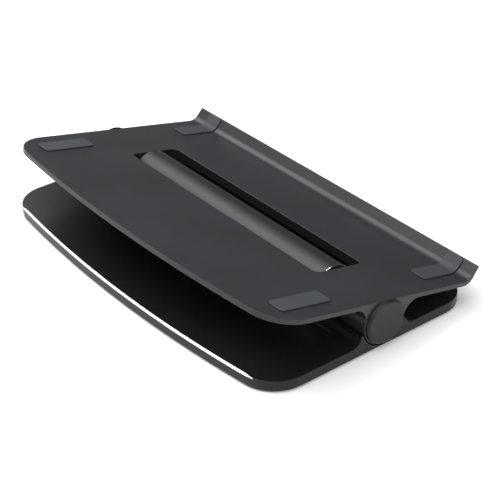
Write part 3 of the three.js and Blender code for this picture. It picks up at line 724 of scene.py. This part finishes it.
def base_section():
    """The base from front to rear with the ears on either side of the cradle, as one (y, z) outline."""
    front, rear = -BASE_FRONT - SPARE_Y, PLATE_REAR + SPARE_Y
    rear_tip = polar(CRADLE_R, EAR_REAR_TIP_DEG)
    front_tip = polar(CRADLE_R, EAR_FRONT_TIP_DEG)
    rear_y = rear_tip[0] + EAR_WALL + EAR_REAR_FILLET_R
    front_z = BASE_TOP + EAR_FRONT_FILLET_R
    front_deg = math.degrees(math.asin((front_tip[1] - front_z) / EAR_FRONT_FILLET_R))
    front_y = front_tip[0] - EAR_WALL - EAR_FRONT_FILLET_R * math.cos(math.radians(front_deg))
    return (
        [(front, BASE_BOTTOM), (rear, BASE_BOTTOM), (rear, BASE_TOP)]
        + arc((rear_y, BASE_TOP + EAR_REAR_FILLET_R), EAR_REAR_FILLET_R, 270, 180, 9)
        + [(rear_tip[0] + EAR_WALL, rear_tip[1])]
        + arc((0, 0), CRADLE_R, EAR_REAR_TIP_DEG, EAR_FRONT_TIP_DEG - 360, 3)
        + arc((front_y, front_z), EAR_FRONT_FILLET_R, front_deg, -90, 5)
        + [(front, BASE_TOP)]
    )


def trim_sections():
    """For each step along the bright strip: its x, and how full it is there, up to 1."""
    steps = round(TRIM_HALF / TRIM_STEP)
    for i in range(-steps, steps + 1):
        x = TRIM_HALF * i / steps
        yield x, max(TRIM_THIN_END, min(1.0, (TRIM_HALF - abs(x)) / TRIM_TAPER))


def loft(name, section):
    """Joins one closed (inset, z) section per step along the bowed edge. section(fill) gives its points."""
    bow_r, bow_y = bow_circle()
    vertices, faces = [], []
    count = len(section(1.0))
    stations = list(trim_sections())
    for x, fill in stations:
        for inset, z in section(fill):
            vertices.append((x, bow_y + math.sqrt((bow_r - inset) ** 2 - x**2), z))
    for i in range(len(stations) - 1):
        for k in range(count):
            nxt = (k + 1) % count
            a, b = i * count, (i + 1) * count
            faces.append((a + k, a + nxt, b + nxt, b + k))
    faces.append(tuple(range(count)))
    faces.append(tuple(range(len(vertices) - count, len(vertices))))
    made = object_of(name, vertices, faces)
    face_outwards(made)
    return made


def trim_strip_section(fill):
    foot = BASE_TOP - TRIM_HEIGHT * fill
    back = TRIM_SKIN * fill
    lean = TRIM_LEAN * fill
    return [(0.0, foot), (lean, BASE_TOP), (lean + back, BASE_TOP), (back, foot)]


def trim_cut_section(fill):
    foot = BASE_TOP - TRIM_HEIGHT * fill
    back = TRIM_SKIN * fill
    lean = TRIM_LEAN * fill
    top = BASE_TOP + TRIM_CUT_ABOVE
    out = -TRIM_CUT_OUTSIDE
    return [(out, foot), (back, foot), (lean + back, BASE_TOP), (lean + back, top), (out, top)]


def screw_places(prefix):
    """The middles of the screw heads of every frame node whose name starts with prefix."""
    places = []
    for name in sorted(frame["nodes"]):
        if name.startswith(prefix):
            low, high = box_mm(name)
            places.append(((low.x + high.x) / 2, (low.y + high.y) / 2 - AXIS_Y))
    return places


def drill(made, places, radius):
    """Cuts a round screw hole from below at each place."""
    for x, y in places:
        circle = [(x + a, y + b) for a, b in arc((0, 0), radius, 0, 345, 15)]
        low, high = BASE_BOTTOM - CUTTER_BELOW_BASE, BASE_BOTTOM + SCREW_HOLE_DEPTH
        combine(made, prism("hole", circle, low, high), "DIFFERENCE")


def make_base():
    past = HALF_WIDTH + SPARE_X
    base = prism("base", base_section(), -past, past, "x")
    outline = plate_outline(0, BASE_FRONT, BASE_FRONT_CORNER_R)
    combine(base, prism("outline", outline, CUTTER_LOW, BASE_CUTTER_HIGH), "INTERSECT")
    soften(base)
    combine(base, loft("trim_cut", trim_cut_section), "DIFFERENCE")
    for side in (1, -1):
        rim = plate_outline(COVER_RIM, BASE_FRONT, BASE_FRONT_CORNER_R)
        recess = beyond(rim, side * COVER_INNER, side)
        low, high = BASE_BOTTOM - CUTTER_BELOW_BASE, BASE_BOTTOM + COVER_THICKNESS
        combine(base, prism("recess", recess, low, high), "DIFFERENCE")
    drill(base, screw_places("barrel_screw"), SCREW_HEAD_R + SCREW_SEAT_GAP)
    level_normals(base)
    finish_piece(base, "base_plate_shell", [finishes["base"]], ["base_plate"], False)


def make_trim():
    strip = loft("trim", trim_strip_section)
    level_normals(strip)
    finish_piece(strip, "bright_strip", [finishes["trim"]], ["base_trim_strip"], False)


def make_covers():
    for end, side in (("rear", 1), ("front", -1)):
        inset = COVER_RIM + COVER_GAP
        outline = plate_outline(inset, BASE_FRONT, BASE_FRONT_CORNER_R)
        outline = beyond(outline, side * (COVER_INNER + COVER_GAP), side)
        cover = prism("cover", outline, BASE_BOTTOM, BASE_BOTTOM + COVER_THICKNESS - COVER_SET_BACK)
        soften(cover, COVER_EDGE, 2)
        drill(cover, screw_places(f"{end}_cover_screw"), SCREW_HEAD_R + SCREW_SEAT_GAP)
        level_normals(cover)
        name = f"bottom_cover_{end}"
        finish_piece(cover, f"{name}_sheet", [finishes["cover"]], [name], False)


def make_barrel():
    cut = BARREL_CHAMFER
    bore = BARREL_R - BARREL_WALL
    end = BARREL_HALF
    profile = [
        (cut - end, BARREL_R),
        (end - cut, BARREL_R),
        (end, BARREL_R - cut),
        (end, bore),
        (-end, bore),
        (-end, BARREL_R - cut),
    ]
    barrel = turned("barrel", profile, TURN_STEPS, True)
    for polygon in barrel.data.polygons:
        middle = polygon.center
        if abs(middle.x) > end - cut and math.hypot(middle.y, middle.z) > BARREL_R - cut:
            polygon.material_index = 1
    indices = [polygon.material_index for polygon in barrel.data.polygons]
    level_normals(barrel)
    metals = [finishes["barrel"], finishes["cut_edge"]]
    finish_piece(barrel, "hinge_barrel_tube", metals, ["hinge_barrel"], False)
    barrel.data.polygons.foreach_set("material_index", indices)


# Screws and feet ------------------------------------------------------------------------------------------


class Geometry(Tree):
    """A geometry node tree with named inputs for its sizes."""

    def __init__(self, name, sizes):
        super().__init__(bpy.data.node_groups.new(name, "GeometryNodeTree"))
        face = self.tree.interface
        face.new_socket("Geometry", in_out="INPUT", socket_type="NodeSocketGeometry")
        face.new_socket("Geometry", in_out="OUTPUT", socket_type="NodeSocketGeometry")
        for size, value in sizes.items():
            kind = "NodeSocketInt" if isinstance(value, int) else "NodeSocketFloat"
            face.new_socket(size, in_out="INPUT", socket_type=kind)
        self.sizes = sizes
        self.entry = self.tree.nodes.new("NodeGroupInput")
        self.exit = self.tree.nodes.new("NodeGroupOutput")

    def size(self, name):
        return Wire(self, self.entry.outputs[name])

    def spread(self, instance, material):
        """Puts the instance at each point that comes in, as plain mesh."""
        sockets = {"Points": self.size("Geometry"), "Instance": instance}
        placed = self.node("GeometryNodeInstanceOnPoints", {}, sockets)
        plain = self.node("GeometryNodeRealizeInstances", {}, {"Geometry": placed})
        painted = self.node("GeometryNodeSetMaterial", {}, {"Geometry": plain, "Material": material})
        self.feed(self.exit.inputs[0], painted)

    def run(self, name, points):
        """A plain mesh object of the tree's result, with its sizes set by their sockets' identifiers."""
        made = object_of(name, points, [])
        modifier = made.modifiers.new("make", "NODES")
        modifier.node_group = self.tree
        for socket in self.tree.interface.items_tree:
            if socket.in_out == "INPUT" and socket.name in self.sizes:
                modifier[socket.identifier] = self.sizes[socket.name]
        bake(made)
        return made


def screw_tree(length):
    """Countersunk screws that point up, each with a hexagon socket in its head."""
    tree = Geometry(
        "countersunk_screws",
        {
            "Head Radius": SCREW_HEAD_R,
            "Head Depth": SCREW_HEAD_DEPTH,
            "Shank Radius": SCREW_SHANK_R,
            "Length": length,
            "Socket Radius": SCREW_SOCKET_R,
            "Socket Depth": SCREW_SOCKET_DEPTH,
            "Sides": SCREW_SIDES,
        },
    )
    head = tree.node(
        "GeometryNodeMeshCone",
        {},
        {
            "Vertices": tree.size("Sides"),
            "Radius Top": tree.size("Shank Radius"),
            "Radius Bottom": tree.size("Head Radius"),
            "Depth": tree.size("Head Depth"),
        },
    )
    shank = tree.node(
        "GeometryNodeMeshCylinder",
        {},
        {
            "Vertices": tree.size("Sides"),
            "Radius": tree.size("Shank Radius") * SCREW_SHANK_SHARE,
            "Depth": tree.size("Length"),
        },
    )
    half = tree.size("Length") * 0.5 + SCREW_LIFT
    lift = tree.node("ShaderNodeCombineXYZ", {}, {"Z": half})
    shank = tree.node("GeometryNodeTransform", {}, {"Geometry": shank, "Translation": lift})
    body = tree.node("GeometryNodeMeshBoolean", {"operation": "UNION", "solver": "EXACT"}, {"Mesh 2": head})
    tree.tree.links.new(shank.socket, body.socket.node.inputs["Mesh 2"])
    socket = tree.node(
        "GeometryNodeMeshCylinder",
        {},
        {"Vertices": 6, "Radius": tree.size("Socket Radius"), "Depth": tree.size("Socket Depth") * 2},
    )
    screw = tree.node(
        "GeometryNodeMeshBoolean",
        {"operation": "DIFFERENCE", "solver": "EXACT"},
        {"Mesh 1": body, "Mesh 2": socket},
    )
    tree.spread(screw, finishes["screw"])
    return tree


def make_screws():
    groups = {
        "cover_screws": [f"{end}_cover_screw_{i}" for end in ("rear", "front") for i in range(1, 5)],
        "barrel_wall_screws": ["barrel_screw_1", "barrel_screw_3"],
        "barrel_plug_screws": ["barrel_screw_2", "barrel_screw_4"],
    }
    for name, nodes in groups.items():
        low, high = box_mm(nodes[0])
        points = [(place_x, place_y, BASE_BOTTOM) for n in nodes for place_x, place_y in screw_places(n)]
        screws = screw_tree(high.z - low.z - SCREW_END_GAP).run(name, points)
        finish_piece(screws, f"{name}_set", [finishes["screw"]], nodes, False)


def foot_tree(length, width, height):
    """Round-ended rubber feet, each a plan outline drawn down and then drawn in to a soft edge."""
    sizes = {
        "Length": length,
        "Width": width,
        "Height": height,
        "Edge": FOOT_EDGE,
        "Corner Steps": FOOT_CORNER_STEPS,
    }
    tree = Geometry("rubber_feet", sizes)
    outline = tree.node(
        "GeometryNodeCurvePrimitiveQuadrilateral",
        {},
        {"Width": tree.size("Length"), "Height": tree.size("Width")},
    )
    rounded = tree.node(
        "GeometryNodeFilletCurve",
        {"mode": "POLY"},
        {
            "Curve": outline,
            "Count": tree.size("Corner Steps"),
            "Radius": tree.size("Width") * FOOT_CORNER_SHARE,
            "Limit Radius": True,
        },
    )
    top = tree.node("GeometryNodeFillCurve", {"mode": "NGONS"}, {"Curve": rounded})
    down = tree.node("ShaderNodeCombineXYZ", {}, {"Z": -1.0})
    wall = tree.node(
        "GeometryNodeExtrudeMesh",
        {},
        {
            "Mesh": top,
            "Offset": down,
            "Offset Scale": tree.size("Height") - tree.size("Edge"),
            "Individual": False,
        },
    )
    edge = tree.node(
        "GeometryNodeExtrudeMesh",
        {},
        {
            "Mesh": wall,
            "Selection": Wire(tree, wall.socket.node.outputs["Top"]),
            "Offset": down,
            "Offset Scale": tree.size("Edge"),
            "Individual": False,
        },
    )
    shrink = 1 - tree.size("Edge") * (FOOT_DRAW_IN / width)
    soft = tree.node(
        "GeometryNodeScaleElements",
        {"domain": "FACE"},
        {"Geometry": edge, "Selection": Wire(tree, edge.socket.node.outputs["Top"]), "Scale": shrink},
    )
    lid = tree.node("GeometryNodeFlipFaces", {}, {"Mesh": top})
    both = tree.node("GeometryNodeJoinGeometry", {}, {"Geometry": soft})
    tree.tree.links.new(lid.socket, both.socket.node.inputs["Geometry"])
    whole = tree.node("GeometryNodeMergeByDistance", {}, {"Geometry": both, "Distance": FOOT_WELD})
    tree.spread(whole, finishes["foot"])
    return tree


def make_feet():
    nodes = [f"foot_{end}_{hand}" for end in ("rear", "front") for hand in ("left", "right")]
    low, high = box_mm(nodes[0])
    size = high - low
    points = []
    for node in nodes:
        low, high = box_mm(node)
        points.append(((low.x + high.x) / 2, (low.y + high.y) / 2 - AXIS_Y, BASE_BOTTOM))
    feet = foot_tree(size.x, size.y, size.z).run("rubber_feet", points)
    face_outwards(feet)
    finish_piece(feet, "rubber_feet_set", [finishes["foot"]], nodes, False)


# Inside the hinge -----------------------------------------------------------------------------------------


def paint_inner_pieces():
    """The friction hinge's own pieces keep their frame shapes and get machined finishes."""
    by_slot = {
        "hinge_steel": finishes["steel"],
        "hinge_bronze": finishes["bronze"],
        "screw_steel": finishes["screw"],
    }
    slots = {part["node"]: part["material_slot"] for part in frame["record"]["subparts"]}
    for name, node in frame["nodes"].items():
        material = by_slot.get(slots[name])
        if material is None or node.hide_render:
            continue
        if not node.material_slots:
            node.data.materials.append(material)
        for place_on in node.material_slots:
            place_on.material = material


# Stage ----------------------------------------------------------------------------------------------------


FLOOR_HALF = 6.0
WORLD_STRENGTH = 0.12
CAMERA_AZIMUTH = math.radians(231.227)
CAMERA_ELEVATION = math.radians(31.951)
CAMERA_ROLL = math.radians(-0.118)
CAMERA_LENS = 105.22
CAMERA_SENSOR = 36
CAMERA_FROM_HINGE = Vector((-0.6863, 0.53864, 0.5239))


def make_floor():
    finish = Finish("pale_floor", metallic=0.0, roughness=0.9)
    speckle = finish.noise(3, 2)
    finish.surface(finish.blend(speckle, (0.96, 0.96, 0.96), (0.98, 0.98, 0.98)))
    far = FLOOR_HALF
    corners = [(-far, -far, 0), (far, -far, 0), (far, far, 0), (-far, far, 0)]
    floor = object_of("floor", corners, [(0, 1, 2, 3)])
    floor.data.materials.append(finish.material)


def area_light(name, position, target, size, power):
    light = bpy.data.lights.new(name, "AREA")
    light.shape = "RECTANGLE"
    light.size, light.size_y = size
    light.energy = power
    lamp = bpy.data.objects.new(name, light)
    lamp.location = position
    lamp.rotation_euler = (Vector(target) - Vector(position)).to_track_quat("-Z", "Y").to_euler()
    bpy.context.scene.collection.objects.link(lamp)


def make_light():
    world = bpy.data.worlds.new("studio")
    world.use_nodes = True
    world.node_tree.nodes["Background"].inputs["Color"].default_value = (1, 1, 1, 1)
    world.node_tree.nodes["Background"].inputs["Strength"].default_value = WORLD_STRENGTH
    bpy.context.scene.world = world
    bpy.context.scene.view_settings.view_transform = "Standard"
    softboxes = (
        ("ceiling", (0.0, 0.0, 1.3), (1.2, 1.2), 4.5),
        ("above_rear", (0.15, 0.32, 0.65), (0.8, 0.4), 3.2),
        ("rear_left", (-0.5, 0.95, 1.1), (0.9, 0.9), 6.5),
        ("high_right", (0.85, 0.1, 1.2), (0.9, 0.9), 8.0),
        ("right", (1.25, -0.05, 0.78), (0.9, 0.9), 7.0),
        ("left", (-1.25, -0.2, 0.8), (0.9, 0.9), 12.0),
    )
    for name, position, size, power in softboxes:
        area_light(name, position, (0, 0, 0), size, power)


def make_camera():
    level = math.cos(CAMERA_ELEVATION)
    out = Vector(
        (math.sin(CAMERA_AZIMUTH) * level, -math.cos(CAMERA_AZIMUTH) * level, math.sin(CAMERA_ELEVATION))
    )
    right = (-out).cross(Vector((0, 0, 1))).normalized()
    up = right.cross(-out)
    turn = Matrix((right, up, out)).transposed().to_4x4() @ Matrix.Rotation(CAMERA_ROLL, 4, "Z")
    camera = bpy.data.cameras.new("camera")
    camera.sensor_width = CAMERA_SENSOR
    camera.lens = CAMERA_LENS
    holder = bpy.data.objects.new("camera", camera)
    holder.matrix_world = Matrix.Translation(HINGE + CAMERA_FROM_HINGE) @ turn
    bpy.context.scene.collection.objects.link(holder)
    bpy.context.scene.camera = holder


make_camera()
make_light()
make_floor()
make_tray()
make_pads()
make_caps()
make_base()
make_trim()
make_covers()
make_barrel()
make_screws()
make_feet()
paint_inner_pieces()
